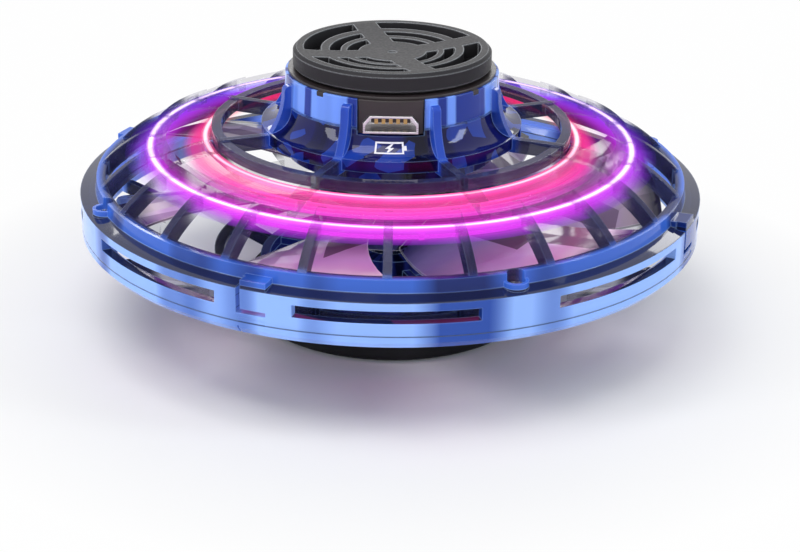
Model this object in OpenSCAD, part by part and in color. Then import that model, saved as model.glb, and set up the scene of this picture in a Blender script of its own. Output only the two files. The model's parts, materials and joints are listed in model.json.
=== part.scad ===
// Hand-launched flying spinner: a clear saucer cage round a propeller, with a
// motor and a lit core in its hub and a free-turning finger cap at each end.
// Millimetres. Z = 0 is the surface that the foot stands on, +Z is up, and the
// charging socket faces -Y.

/* [Cage] */
// Diameter across the rim
rim_d = 90; // [88:0.5:92]
// Height of the line where the two cage halves meet
parting_z = 15.1; // [14.8:0.1:15.3]
// Height of the ledge at the rim's outer edge
ledge_z = 19.7; // [19.6:0.1:20]
// Height of the lip where the dome meets the rim
lip_z = 21.9; // [21.6:0.1:22.2]
// Height of the dome's flat crown
crown_z = 28.9; // [28.5:0.1:29.2]
// Bottom of the rim strip
strip_z = 13.3; // [13:0.1:13.5]
// Thickness of the rim wall
rim_wall = 1.4; // [1.2:0.1:1.6]
// Thickness of a rib or fin
rib_t = 1.2; // [1:0.1:1.4]
// Depth of a rib, measured into the cage
rib_depth = 2; // [1.8:0.1:2.2]
// Ribs between the hub and the middle ring, each with a fin on the hub
main_ribs = 8; // [8:8:8]
// Ribs between the middle ring and the lip
outer_ribs = 24; // [16:4:32]
// Diameter of the dome's flat crown
crown_d = 54.2; // [53:0.2:55]
// Diameter of the inner ring
inner_ring_d = 50.6; // [49.6:0.2:50.6]
// Diameter of the middle ring
middle_ring_d = 66.6; // [65.6:0.2:66.6]
// Diameter of the inner light ring
inner_light_d = 53.8; // [53.8:0.2:54.4]
// Diameter of the outer light ring
outer_light_d = 69.6; // [69.6:0.2:70.2]
// Length in degrees of a vent slot in the rim
vent_arc = 31; // [24:1:32]
// Height of a vent slot
vent_h = 1.7; // [1.2:0.1:1.7]

/* [Hub] */
// Outer diameter at the hub's top edge
hub_d = 30.6; // [30.4:0.1:31]
// Bore of the hub, which takes the core
hub_bore_d = 28; // [28:0.1:28.2]
// Top edge of the hub
hub_top_z = 36.6; // [36.4:0.1:36.8]
// Diameter of the flange at the foot of the hub's flare
flange_d = 37.6; // [37:0.2:38.4]
// Width of the openings for the socket block and the button block
block_w = 8.9; // [8.7:0.1:9.2]

/* [Finger caps] */
// Diameter of the top cap
cap_d = 28.4; // [27.6:0.2:29]
// Top of the cap, the overall height
cap_top_z = 40; // [39.8:0.1:40.4]
// Depth of the dish in the cap's face
cap_dish = 0.9; // [0.5:0.1:1]
// Width of the cap's four spokes
spoke_w = 3.6; // [3:0.2:4]
// Direction of the first spoke in degrees
spoke_angle = 20; // [0:5:85]
// Diameter of the foot cap
foot_d = 42; // [40:0.2:42.4]
// Radius of the foot cap's lower edge
foot_round = 1; // [0.6:0.1:1.5]

/* [Propeller] */
// Diameter across the blade tips
propeller_d = 80; // [76:0.5:80]
// Number of blades
blade_count = 6; // [4:1:7]
// Width of a blade at its tip, in degrees
tip_arc = 36; // [28:1:40]
// Width of a blade at its root, in degrees
root_arc = 44; // [36:1:46]
// Axial travel of the blade surface in one turn
blade_lead = 44; // [36:1:46]
// Thickness of a blade at mid chord
blade_t = 1.1; // [0.9:0.1:1.3]

/* [Motor and core] */
// Diameter of the motor's turning bell
bell_d = 16.4; // [16:0.1:16.6]
// Diameter of the motor shaft
shaft_d = 2; // [1.8:0.1:2.2]
// Stator teeth
stator_teeth = 9; // [9:9:9]
// Magnets in the bell
magnet_count = 12; // [10:2:14]
// Width of the charging socket
usb_w = 7.6; // [7.4:0.1:7.8]
// Height of the charging socket
usb_h = 2.5; // [2.4:0.1:2.6]
// Travel of the power button
button_travel = 0.5; // [0.3:0.1:0.5]

/* [Hidden] */
$fn = 128;

// Small overlap between joined forms
eps = 0.05;
// Reach of a cutter beyond the face that it opens
overcut = 1;
// Gap between a turning piece and its fixed neighbour
run_gap = 0.3;
// Directions of the features round the rim and hub, in degrees
boss_angle = 22.5;
boss_count = 4;
snap_angle = 67.5;
snap_count = 4;
fin_angle = 22.5;
vent_count = 8;
quarter = 90;

// Rim
rim_r = rim_d / 2;
rim_inner_r = rim_r - rim_wall;
ledge_w = 2.2;
ledge_rise = 0.4;
band_r = rim_r - ledge_w;
band_lean = 0.2;
lip_r = band_r - band_lean;
lip_inner_r = lip_r - 1.3;
shelf_z = ledge_z - 0.9;
vent_z = 16.9;
strip_taper = 0.8;
strip_chamfer_z = strip_z + 0.9;
strip_inner_r = rim_r - 2.6;
spigot_h = 1.1;
spigot_gap = 0.1;
spigot_t = 0.7;

// Dome: flat crown, then one arc that falls to the lip
crown_r = crown_d / 2;
dome_fall = crown_z - lip_z;
rib_end_r = lip_r - 0.5;
dome_lead_in = 1;
dome_axis_r = crown_r - dome_lead_in;
dome_run = rib_end_r - dome_axis_r;
dome_rise = (dome_run * dome_run - dome_lead_in * dome_lead_in + dome_fall * dome_fall) / (2 * dome_fall);
dome_r = sqrt(dome_lead_in * dome_lead_in + dome_rise * dome_rise);
dome_axis_z = crown_z - dome_rise;
inner_ring_r = inner_ring_d / 2;
middle_ring_r = middle_ring_d / 2;
ring_w = 1.4;
ring_drop = 0.2;
inner_ring_z = crown_z - 1.7;
middle_ring_z = crown_z - 2.4;

// Light rings, hung in seats on the underside of the ribs
inner_light_r = inner_light_d / 2;
outer_light_r = outer_light_d / 2;
light_ring_w = 1.4;
light_ring_h = 1.4;
inner_light_z = crown_z - 1.9;
outer_light_z = crown_z - 3;
light_seat_in = 0.5;
light_seat_gap = 0.05;
strand_w = 0.5;
strand_h = 0.4;
strand_bar_w = 0.8;
strand_bar_angle = 7.5;
inner_strand_z = inner_light_z - light_ring_h + eps;
inner_strand_bar_h = strand_h - 0.1;
inner_strands = [inner_light_r + 1.7, inner_light_r + 3, inner_light_r + 4.3];
outer_strand_z = outer_light_z - 2.45;
outer_strand_bar_h = 1.1;
outer_strands = [outer_light_r - 2.3, outer_light_r + 1.2];
dome_base_z = lip_z - 3;

// Rim bosses, snap tabs and keys
boss_r = 1.7;
nut_boss_r = 1.45;
boss_at_r = rim_r - 2.3;
boss_top_z = lip_z - 1;
rim_screw_r = 0.7;
rim_head_r = 1.25;
rim_head_z = boss_top_z - 1.5;
rim_head_h = 0.9;
snap_arc = 5;
snap_slit = 0.6;
snap_slit_arc = 0.8;
snap_foot_z = 16.3;
snap_top_z = 20.9;
snap_root_r = lip_r - 0.6;
nut_inset = 0.1;
screw_floor_z = strip_z + 0.4;
key_h = 0.6;
key_t = 1;
split_arc = 0.4;

// Hub
hub_r = hub_d / 2;
hub_bore_r = hub_bore_d / 2;
hub_band_z = hub_top_z - 4.2;
hub_waist_r = hub_r + 0.2;
flange_r = flange_d / 2;
flange_under_z = crown_z - 1.5;
flare_run = flange_r - hub_waist_r;
flange_top_z = crown_z + 0.2;
flare_fall = hub_band_z - flange_top_z;
flare_r = (flare_run * flare_run + flare_fall * flare_fall) / (2 * flare_run);
skirt_z = 24.6;
skirt_r = hub_waist_r - 0.3;
skirt_top_z = flange_under_z - 0.4;
shoulder_z = skirt_z + 1.2;
shoulder_r = 12.2;
rib_root_r = hub_bore_r + 0.6;
groove_h = 0.3;
groove_depth = 0.25;
fin_top_r = 0.8;
fin_base_z = flange_under_z + 0.8;
fin_out = 1;
fin_shoulder_z = hub_top_z - 1.6;
fin_edge_r = hub_waist_r + fin_out;
fin_foot_r = flange_r - 0.3;
fin_run = fin_foot_r - fin_edge_r;
fin_fall = fin_shoulder_z - flange_top_z;
fin_flare_r = (fin_run * fin_run + fin_fall * fin_fall) / (2 * fin_run);
block_gap = 0.15;
block_z = 31.8;
window_in_r = hub_bore_r - 2;
window_run = 4;
tooth_angle = 50;
tooth_count = 4;
tooth_in_r = hub_bore_r - 1;
tooth_run = 4;
tooth_w = 1.2;
tooth_h = 0.6;

// Core
core_r = hub_bore_r - 0.1;
core_floor_z = shoulder_z;
core_floor_t = 1.4;
core_top_z = hub_top_z - 2;
core_inner_r = core_r - 1.2;
core_ledge_r = core_inner_r - 0.8;
core_inside_z = core_floor_z + core_floor_t;
block_out_r = hub_r + 0.05;
post_r = 1.6;
post_at_r = 11;
post_angle = 45;
post_count = 4;
block_in_r = core_r - 1;
collar_r = hub_r - 0.4;
collar_top_z = hub_top_z + 0.4;
collar_screw_r = 0.7;
collar_head_r = 1.3;
collar_head_h = 0.7;
collar_recess_z = collar_top_z - 0.8;
collar_notch_r = core_r - 2;
head_gap = 0.1;

// Board and what sits on it
board_t = 1;
board_z = core_inside_z + 3.75;
board_top_z = board_z + board_t;
board_r = core_inner_r - 0.1;
post_gap = 0.15;
board_notch_w = 6;
board_notch_y = 11.4;
led_w = 2.2;
led_d = 1.2;
led_h = 1;
led_at_r = 11.8;
led_window_w = 2.8;
led_window_h = 1.6;
led_angles = [22.5, 67.5, 112.5, 157.5, 202.5, 337.5];
// Chips of the board: x, y, width, depth, height
chips = [[0, -5.6, 4, 4, 0.9], [-5.4, 1.8, 3, 3, 0.8], [5.2, 2.4, 3.2, 1.8, 1.1]];
small_part = [1, 0.6, 0.5];
small_part_count = 4;
small_part_pitch = 2.8;
small_part_y = -9.2;
small_part_bow = 1.2;
battery_w = 12;
battery_l = 11.6;
battery_t = 3.2;
battery_y = -3.2;
battery_corner = 1.2;
battery_lead_r = 0.4;
battery_lead_x = 1.6;
battery_lead_out = 1.2;

// Charging socket
usb_mid_z = board_top_z + usb_h / 2;
usb_wall = 0.3;
usb_mouth_y = -(hub_r + 0.1);
usb_depth = 5.2;
usb_back = 0.6;
usb_corner_x = 0.9;
usb_corner_z = 1.1;
usb_seat_gap = 0.05;
tongue_w = 5.4;
tongue_t = 0.7;
tongue_set_back = 0.9;
tongue_z = usb_mid_z + 0.1;
contact_count = 5;
contact_pitch = 1;
contact_w = 0.5;
contact_t = 0.15;
contact_l = 2.2;

// Button
button_z = 33.6;
button_r = 1.9;
button_bore_gap = 0.1;
button_flange_r = 2.5;
button_flange_t = 0.6;
button_face_y = hub_r + 0.5;
button_crown_r = 8;
button_dish = 0.2;
button_pocket_y = 13.5;
button_flange_y = button_pocket_y - 0.05;
button_back_y = 12.4;
switch_w = 4.4;
switch_d = 2.4;
switch_h = 2.3;
switch_y = 8.9;
plunger_r = 0.8;
plunger_z = button_z - 0.5;
plunger_y = button_back_y - button_travel - 0.1;

// Motor
mount_base_r = 8;
mount_base_z = skirt_z;
mount_tube_r = 2.4;
mount_tube_z = 19.9;
bush_r = 1.8;
shaft_r = shaft_d / 2;
shaft_fit = 0.03;
shaft_bottom_z = 13.2;
shaft_top_z = core_floor_z - 0.2;
bell_r = bell_d / 2;
bell_wall = 0.8;
bell_z = 18.6;
bell_plate_t = 0.8;
bell_top_z = mount_base_z - run_gap;
bell_inner_r = bell_r - bell_wall;
bell_vents = 6;
bell_vent_r = 0.9;
bell_vent_at_r = 3.6;
bell_vent_angle = 30;
magnet_t = 0.6;
magnet_gap_arc = 4;
magnet_z = bell_z + bell_plate_t + 0.6;
magnet_h = 3.8;
stator_r = bell_inner_r - magnet_t - run_gap;
stator_z = 20.3;
stator_h = 3.2;
stator_core_r = 3.5;
neck_in_r = stator_core_r - 0.3;
neck_out_r = stator_r - 0.6;
tooth_neck = 1.1;
tooth_tip_t = 0.8;
tooth_tip_gap_arc = 7;
coil_t = 0.5;
coil_in_r = 3.6;
coil_out_r = stator_r - tooth_tip_t - 0.1;
coil_first_angle = 10;
lead_coils = [50, 90, 130];
lead_r = 0.35;
lead_hole_r = lead_r + 0.15;
lead_at_r = 4.9;
motor_screw_count = 3;
motor_screw_angle = 30;
motor_screw_at_r = 6.4;
motor_screw_r = 0.6;
motor_head_r = 1.1;
motor_head_h = 0.6;
motor_recess = 0.7;

// Propeller
propeller_r = propeller_d / 2;
prop_hub_r = 10.5;
prop_hub_wall = 1.3;
prop_hub_z = 12.7;
prop_web_t = 1.4;
prop_boss_r = 2.8;
prop_screw_count = 3;
prop_screw_at_r = 5.6;
prop_screw_r = 0.6;
prop_head_r = 1.1;
prop_head_h = 0.8;
root_mid_z = 15.6;
tip_mid_z = 17.5;
blade_sweep = 14;
blade_camber = 0.7;
blade_stations = 10;
blade_steps = 6;
blade_root_r = prop_hub_r - prop_hub_wall / 2;
edge_thickness = 0.35;

// Bearings: 3 mm bore, 10 mm outside, 3 mm wide
bearing_bore_r = 1.5;
bearing_outer_r = 5;
bearing_w = 3;
bearing_inner_land_r = 2.6;
bearing_outer_land_r = 4;
bearing_pitch_r = 3.3;
ball_r = 0.9;
ball_race_gap = 0.05;
ball_count = 8;
bearing_exit_r = 3.6;
top_bearing_z = hub_top_z - 2.7;
bottom_bearing_z = 5.6;
axle_head_r = 2.3;
axle_head_h = 1;
axle_grip = 0.4;

// Share of a screw head's radius left at its crown, and taken by its recess
head_crown = 0.75;
head_recess = 0.6;

// Finger caps
cap_r = cap_d / 2;
cap_bottom_z = collar_top_z + run_gap;
cap_plate_t = 1.5;
cap_wall = 1.5;
cap_edge = 0.5;
cap_dish_edge = 1.7;
cap_dish_run = cap_r - cap_dish_edge;
cap_dish_r = (cap_dish_run * cap_dish_run + cap_dish * cap_dish) / (2 * cap_dish);
cap_dimple_r = 0.6;
slot_bands = [[0.34, 0.455], [0.52, 0.63], [0.72, 0.89]];
foot_r = foot_d / 2;
lower_hub_z = 5.3;
foot_top_z = lower_hub_z - run_gap;
foot_wall = 1.6;
foot_plate_t = 2;
foot_dish_r = 40;
foot_dish_depth = 0.6;

// Lower cage
seat_wall = 1.6;
lower_hub_r = 19.2;
dish_root_r = lower_hub_r - 1;
seat_r = bearing_outer_r + seat_wall;
web_in_r = seat_r - 0.5;
web_out_r = lower_hub_r - 0.5;
lower_hub_t = 1.4;
lower_hub_rim_h = 2.8;
dish_edge_r = rim_r - 1.6;
dish_edge_z = strip_z + 0.3;
dish_top_z = parting_z - 0.3;
web_h = lower_hub_rim_h - 0.3;
seat_lip = 0.7;
seat_top_z = bottom_bearing_z + bearing_w + seat_lip;

// Height of the underside of the lower cage's dish at radius r
function dish_z(r) =
  lower_hub_z + (dish_edge_z - lower_hub_z) * (r - lower_hub_r) / (dish_edge_r - lower_hub_r);

// Repeats its child evenly about Z
module around(count, start = 0) {
  for (i = [0 : count - 1])
    rotate(start + i * 360 / count)
      children();
}

// Tube between two radii and two heights
module tube(outer_r, inner_r, z0, z1) {
  rotate_extrude()
    translate([inner_r, z0])
      square([outer_r - inner_r, z1 - z0]);
}

// Ring-shaped sector, centred on the direction +X
module sector(inner_r, outer_r, z0, z1, arc) {
  rotate(-arc / 2)
    rotate_extrude(angle = arc)
      translate([inner_r, z0])
        square([outer_r - inner_r, z1 - z0]);
}

// Upright radial plate of the rib thickness, along +X
module radial_plate(r0, r1, z0, z1) {
  translate([r0, -rib_t / 2, z0])
    cube([r1 - r0, rib_t, z1 - z0]);
}

// Area under the dome's outer surface, lowered by drop, in radius and height
module dome_section(drop) {
  intersection() {
    translate([0, dome_base_z])
      square([rib_end_r, crown_z - drop - dome_base_z]);
    union() {
      square([dome_axis_r, cap_top_z]);
      translate([dome_axis_r, dome_axis_z])
        circle(dome_r - drop);
    }
  }
}

// Concentric ring of the dome with a flat underside
module dome_ring(mid_r, under_z) {
  rotate_extrude()
    intersection() {
      dome_section(ring_drop);
      translate([mid_r - ring_w / 2, under_z])
        square([ring_w, crown_z]);
    }
}

// Ribs of the dome
module dome_ribs() {
  intersection() {
    rotate_extrude()
      difference() {
        dome_section(0);
        dome_section(rib_depth);
      }
    union() {
      around(main_ribs, fin_angle)
        radial_plate(rib_root_r, middle_ring_r, 0, cap_top_z);
      around(outer_ribs)
        radial_plate(middle_ring_r, lip_r, 0, cap_top_z);
    }
  }
}

// Seat cut into the ribs for a light ring whose top is at light_z
module light_seat_cut(light_r, light_z) {
  half_w = light_ring_w / 2;
  tube(light_r + half_w + light_seat_gap, light_r - half_w - light_seat_in, dome_base_z, light_z);
}

// Hub wall with its flare, flange, groove and inner shoulder
module hub_wall() {
  rotate_extrude()
    difference() {
      polygon([
        [hub_bore_r, shoulder_z],
        [shoulder_r, shoulder_z],
        [shoulder_r, skirt_z],
        [skirt_r, skirt_z],
        [hub_waist_r, skirt_top_z],
        [flange_r, flange_under_z],
        [flange_r, hub_band_z],
        [hub_waist_r, hub_band_z],
        [hub_r, hub_top_z],
        [hub_bore_r, hub_top_z]
      ]);
      translate([hub_waist_r + flare_r, hub_band_z])
        circle(flare_r);
      translate([hub_waist_r - groove_depth, hub_band_z])
        square([overcut, groove_h]);
    }
}

// Fin that braces the hub wall, with a round head and a flared foot
module hub_fin() {
  rotate([quarter, 0, 0])
    translate([0, 0, -rib_t / 2])
      linear_extrude(rib_t) {
        difference() {
          translate([rib_root_r, fin_base_z])
            square([fin_foot_r - rib_root_r, fin_shoulder_z - fin_base_z]);
          translate([fin_edge_r + fin_flare_r, fin_shoulder_z])
            circle(fin_flare_r);
        }
        translate([rib_root_r, fin_shoulder_z])
          square([fin_edge_r - fin_top_r - rib_root_r, fin_top_r]);
        translate([fin_edge_r - fin_top_r, fin_shoulder_z])
          circle(fin_top_r);
      }
}

// Rim of the upper cage: outer wall, ledge, sloping band and lip
module upper_rim() {
  rotate_extrude()
    polygon([
      [rim_inner_r, parting_z],
      [rim_r, parting_z],
      [rim_r, ledge_z],
      [band_r, ledge_z + ledge_rise],
      [lip_r, lip_z],
      [lip_inner_r, lip_z],
      [lip_inner_r, shelf_z + ledge_rise],
      [rim_inner_r, shelf_z]
    ]);
}

// Keys on the parting line, under the snap tabs, from a radius and a height
module parting_keys(outer_r, base_z) {
  around(snap_count, snap_angle)
    sector(rim_r - key_t, outer_r, base_z, parting_z + key_h, snap_arc);
}

// L-shaped slit that frees a snap tab in the rim wall
module snap_slit_cut() {
  rotate(-snap_arc / 2)
    sector(rim_inner_r - eps, rim_r + overcut, snap_foot_z - eps, snap_top_z + overcut, snap_slit_arc);
  sector(rim_inner_r - eps, rim_r + overcut, snap_foot_z, snap_foot_z + snap_slit, snap_arc);
}

// Openings in the hub wall for the socket block and the button block
module hub_windows() {
  width = block_w + 2 * block_gap;
  around(2, quarter)
    translate([window_in_r, -width / 2, block_z - block_gap])
      cube([window_run + overcut, width, hub_top_z]);
}

// Clear upper half of the cage
module upper_cage() {
  color([0.25, 0.45, 0.95, 0.6])
    difference() {
      union() {
        upper_rim();
        difference() {
          dome_ribs();
          light_seat_cut(inner_light_r, inner_light_z);
          light_seat_cut(outer_light_r, outer_light_z);
        }
        dome_ring(inner_ring_r, inner_ring_z);
        dome_ring(middle_ring_r, middle_ring_z);
        hub_wall();
        around(main_ribs, fin_angle)
          hub_fin();
        around(boss_count, boss_angle)
          translate([boss_at_r, 0, parting_z])
            cylinder(r = boss_r, h = boss_top_z - parting_z);
        around(snap_count, snap_angle)
          sector(snap_root_r, rim_r - eps, shelf_z + ledge_rise, snap_top_z, snap_arc);
      }
      around(vent_count)
        sector(rim_inner_r - overcut, rim_r + overcut, vent_z, vent_z + vent_h, vent_arc);
      around(snap_count, snap_angle)
        snap_slit_cut();
      parting_keys(rim_r + overcut, parting_z - overcut);
      around(boss_count, boss_angle)
        translate([boss_at_r, 0, 0]) {
          translate([0, 0, parting_z - overcut])
            cylinder(r = rim_screw_r, h = boss_top_z);
          translate([0, 0, rim_head_z])
            cylinder(r = rim_head_r, h = boss_top_z);
        }
      hub_windows();
      around(tooth_count, tooth_angle)
        translate([tooth_in_r, -tooth_w / 2, hub_top_z - tooth_h])
          cube([tooth_run, tooth_w, tooth_h + overcut]);
    }
}

// Rim strip of the lower cage, with the spigot that fits inside the upper wall
module lower_rim() {
  spigot_r = rim_inner_r - spigot_gap;
  rotate_extrude()
    polygon([
      [strip_inner_r, strip_z],
      [rim_r - strip_taper, strip_z],
      [rim_r, strip_chamfer_z],
      [rim_r, parting_z],
      [spigot_r, parting_z],
      [spigot_r, parting_z + spigot_h],
      [spigot_r - spigot_t, parting_z + spigot_h],
      [strip_inner_r, parting_z]
    ]);
}

// Section of the lower cage's dish between two radii, thinned on both faces by inset
module dish_section(r0, r1, inset = 0) {
  polygon([
    [r0, dish_z(r0) + inset],
    [r1, dish_z(r1) + inset],
    [r1, dish_z(r1) + rib_depth - inset],
    [r0, dish_z(r0) + rib_depth - inset]
  ]);
}

// Ribs and rings of the lower cage
module dish_ribs() {
  intersection() {
    rotate_extrude()
      dish_section(dish_root_r, dish_edge_r);
    union() {
      around(main_ribs, fin_angle)
        radial_plate(dish_root_r, middle_ring_r, lower_hub_z + eps, dish_top_z);
      around(outer_ribs)
        radial_plate(middle_ring_r, dish_edge_r, lower_hub_z, dish_top_z);
    }
  }
  rotate_extrude() {
    dish_section(inner_ring_r - ring_w / 2, inner_ring_r + ring_w / 2, ring_drop);
    dish_section(middle_ring_r - ring_w / 2, middle_ring_r + ring_w / 2, ring_drop);
  }
}

// Lower hub: floor, stiffening rim and bearing seat
module lower_hub() {
  tube(lower_hub_r, 0, lower_hub_z, lower_hub_z + lower_hub_t);
  tube(lower_hub_r, lower_hub_r - rim_wall, lower_hub_z, lower_hub_z + lower_hub_rim_h);
  tube(seat_r, 0, lower_hub_z, seat_top_z);
  around(main_ribs, fin_angle)
    radial_plate(web_in_r, web_out_r, lower_hub_z + eps, lower_hub_z + web_h);
}

// Clear lower half of the cage
module lower_cage() {
  color([0.22, 0.4, 0.9, 0.6])
    difference() {
      union() {
        lower_rim();
        parting_keys(rim_r - eps, parting_z - key_h / 2);
        dish_ribs();
        lower_hub();
        around(boss_count, boss_angle)
          translate([boss_at_r, 0, strip_z + nut_inset])
            cylinder(r = nut_boss_r, h = parting_z - strip_z - 2 * nut_inset);
      }
      translate([0, 0, bottom_bearing_z - overcut])
        cylinder(r = bearing_outer_r, h = bearing_w + overcut);
      translate([0, 0, lower_hub_z])
        cylinder(r = bearing_exit_r, h = seat_top_z);
      around(boss_count, boss_angle)
        translate([boss_at_r, 0, 0]) {
          translate([0, 0, screw_floor_z])
            cylinder(r = rim_screw_r, h = parting_z);
          translate([0, 0, parting_z - 2 * spigot_gap])
            cylinder(r = boss_r + spigot_gap, h = spigot_h + overcut);
        }
      around(snap_count, snap_angle)
        rotate(-snap_arc / 2)
          sector(rim_r - key_t, rim_r + overcut, strip_z - overcut, parting_z - key_h, split_arc);
    }
}

// Pan-head screw, head up, with its head's underside at Z = 0
module pan_screw(head_r, head_h, shank_r, shank_l) {
  crown = head_h / 3;
  slot_w = head_r / 3;
  difference() {
    union() {
      cylinder(r = head_r, h = head_h - crown);
      translate([0, 0, head_h - crown])
        cylinder(r1 = head_r, r2 = head_r * head_crown, h = crown);
      translate([0, 0, -shank_l])
        cylinder(r = shank_r, h = shank_l + eps);
    }
    for (turn = [0, quarter])
      rotate(turn)
        translate([-head_r * head_recess, -slot_w / 2, head_h / 2])
          cube([2 * head_r * head_recess, slot_w, head_h]);
  }
}

// Screws that join the two cage halves
module rim_screws() {
  color("silver")
    around(boss_count, boss_angle)
      translate([boss_at_r, 0, rim_head_z])
        pan_screw(rim_head_r, rim_head_h, rim_screw_r, rim_head_z - screw_floor_z);
}

// Ring that carries light round, with the given radius and height of its top
module light_ring(light_r, light_z) {
  half_w = light_ring_w / 2;
  tube(light_r + half_w, light_r - half_w, light_z - light_ring_h, light_z);
}

// Thin hoops of light guide at the given radii, and the bars that carry them from a light ring
module light_strands(radii, strand_z, bar_r0, bar_r1, bar_z, bar_h, bar_angle) {
  for (strand_r = radii)
    tube(strand_r + strand_w / 2, strand_r - strand_w / 2, strand_z, strand_z + strand_h);
  around(main_ribs, bar_angle)
    translate([bar_r0, -strand_bar_w / 2, bar_z])
      cube([bar_r1 - bar_r0, strand_bar_w, bar_h]);
}

// Light ring outside the inner ring of the dome, with the strands between the two rings
module inner_light_ring() {
  color([1, 0.75, 0.9]) {
    light_ring(inner_light_r, inner_light_z);
    light_strands(inner_strands, inner_strand_z, inner_light_r, max(inner_strands),
      inner_strand_z + eps, inner_strand_bar_h, fin_angle);
  }
}

// Light ring outside the middle ring of the dome, with a strand on each side
module outer_light_ring() {
  color([0.85, 0.75, 1]) {
    light_ring(outer_light_r, outer_light_z);
    light_strands(outer_strands, outer_strand_z, min(outer_strands), max(outer_strands),
      outer_strand_z + eps, outer_strand_bar_h, strand_bar_angle);
  }
}

// Blocks that fill the two openings in the hub wall
module core_blocks() {
  around(2, quarter)
    intersection() {
      translate([block_in_r, -block_w / 2, block_z])
        cube([hub_r, block_w, hub_top_z - block_z]);
      cylinder(r = block_out_r, h = hub_top_z);
    }
}

// Outline of the charging socket in width and height, grown by extra
module usb_outline(extra = 0) {
  half_w = usb_w / 2 + extra;
  half_h = usb_h / 2 + extra;
  polygon([
    [-half_w, -half_h],
    [half_w, -half_h],
    [half_w, half_h - usb_corner_z],
    [half_w - usb_corner_x, half_h],
    [-half_w + usb_corner_x, half_h],
    [-half_w, half_h - usb_corner_z]
  ]);
}

// Extrudes a socket outline backwards from the mouth
module usb_extrude(set_back, length) {
  translate([0, usb_mouth_y + set_back, usb_mid_z])
    rotate([90, 0, 0])
      translate([0, 0, -length])
        linear_extrude(length)
          children();
}

// Black can that holds the electronics inside the hub
module core_housing() {
  color([0.09, 0.08, 0.09])
    difference() {
      union() {
        difference() {
          translate([0, 0, core_floor_z])
            cylinder(r = core_r, h = core_top_z - core_floor_z);
          translate([0, 0, core_inside_z])
            cylinder(r = core_ledge_r, h = core_top_z);
          translate([0, 0, board_z])
            cylinder(r = core_inner_r, h = core_top_z);
        }
        around(post_count, post_angle)
          translate([post_at_r, 0, core_inside_z])
            cylinder(r = post_r, h = core_top_z - core_inside_z);
        core_blocks();
      }
      around(post_count, post_angle)
        translate([post_at_r, 0, board_top_z])
          cylinder(r = collar_screw_r, h = core_top_z);
      usb_extrude(-overcut, usb_depth + 3 * overcut)
        usb_outline(usb_seat_gap);
      translate([0, 0, button_z])
        rotate([-quarter, 0, 0]) {
          cylinder(r = button_r + button_bore_gap, h = hub_r + overcut);
          cylinder(r = button_flange_r + button_bore_gap, h = button_pocket_y);
        }
      for (a = led_angles)
        rotate(a)
          translate([core_inner_r - overcut, -led_window_w / 2, board_top_z])
            cube([core_r - core_inner_r + 2 * overcut, led_window_w, led_window_h]);
      around(motor_screw_count, motor_screw_angle)
        translate([motor_screw_at_r, 0, core_floor_z - overcut]) {
          cylinder(r = motor_screw_r, h = core_floor_t + 2 * overcut);
          translate([0, 0, overcut + core_floor_t - motor_recess])
            cylinder(r = motor_head_r + head_gap, h = motor_recess + overcut);
        }
      for (a = lead_coils)
        rotate(a)
          translate([lead_at_r, 0, core_floor_z - overcut])
            cylinder(r = lead_hole_r, h = core_floor_t + 2 * overcut);
    }
}

// Black lid between the hub and the top cap, with the upper bearing's seat
module top_collar() {
  color([0.12, 0.11, 0.11])
    difference() {
      union() {
        tube(core_r, 0, core_top_z, hub_top_z);
        tube(collar_r, 0, hub_top_z, collar_top_z);
        tube(seat_r, 0, top_bearing_z - seat_lip, core_top_z + eps);
        around(tooth_count, tooth_angle)
          intersection() {
            translate([tooth_in_r, -tooth_w / 2, hub_top_z - tooth_h])
              cube([tooth_run, tooth_w, tooth_h + eps]);
            cylinder(r = hub_r, h = cap_top_z);
          }
      }
      around(2, quarter)
        translate([collar_notch_r, -block_w / 2 - block_gap, block_z])
          cube([hub_r - collar_notch_r, block_w + 2 * block_gap, hub_top_z - block_z]);
      translate([0, 0, top_bearing_z])
        cylinder(r = bearing_outer_r, h = bearing_w + overcut);
      cylinder(r = bearing_exit_r, h = hub_top_z);
      around(post_count, post_angle)
        translate([post_at_r, 0, 0]) {
          cylinder(r = collar_screw_r, h = cap_top_z);
          translate([0, 0, collar_recess_z])
            cylinder(r = collar_head_r + head_gap, h = cap_top_z);
        }
    }
}

// Screws that hold the lid to the core's posts
module collar_screws() {
  color("silver")
    around(post_count, post_angle)
      translate([post_at_r, 0, collar_recess_z])
        pan_screw(collar_head_r, collar_head_h, collar_screw_r, collar_recess_z - board_top_z);
}

// Round circuit board, notched for the core's posts and the button
module circuit_board() {
  color([0.05, 0.3, 0.16])
    difference() {
      translate([0, 0, board_z])
        cylinder(r = board_r, h = board_t);
      around(post_count, post_angle)
        translate([post_at_r, 0, board_z - overcut])
          cylinder(r = post_r + post_gap, h = board_t + 2 * overcut);
      translate([-board_notch_w / 2, board_notch_y, board_z - overcut])
        cube([board_notch_w, board_r, board_t + 2 * overcut]);
    }
}

// Chip body of a given size standing on the board
module chip(x, y, size) {
  translate([x - size[0] / 2, y - size[1] / 2, board_top_z])
    cube(size);
}

// Controller, motor driver and small parts of the board
module board_chips() {
  half = (small_part_count - 1) / 2;
  color([0.15, 0.15, 0.17]) {
    for (c = chips)
      chip(c[0], c[1], [c[2], c[3], c[4]]);
    for (step = [-half : half])
      chip(small_part_pitch * step, small_part_y + small_part_bow * abs(step), small_part);
  }
}

// Side-facing light sources behind the core's windows
module leds() {
  color([1, 0.95, 0.9])
    for (a = led_angles)
      rotate(a)
        translate([led_at_r - led_d / 2, -led_w / 2, board_top_z])
          cube([led_d, led_w, led_h]);
}

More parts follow.
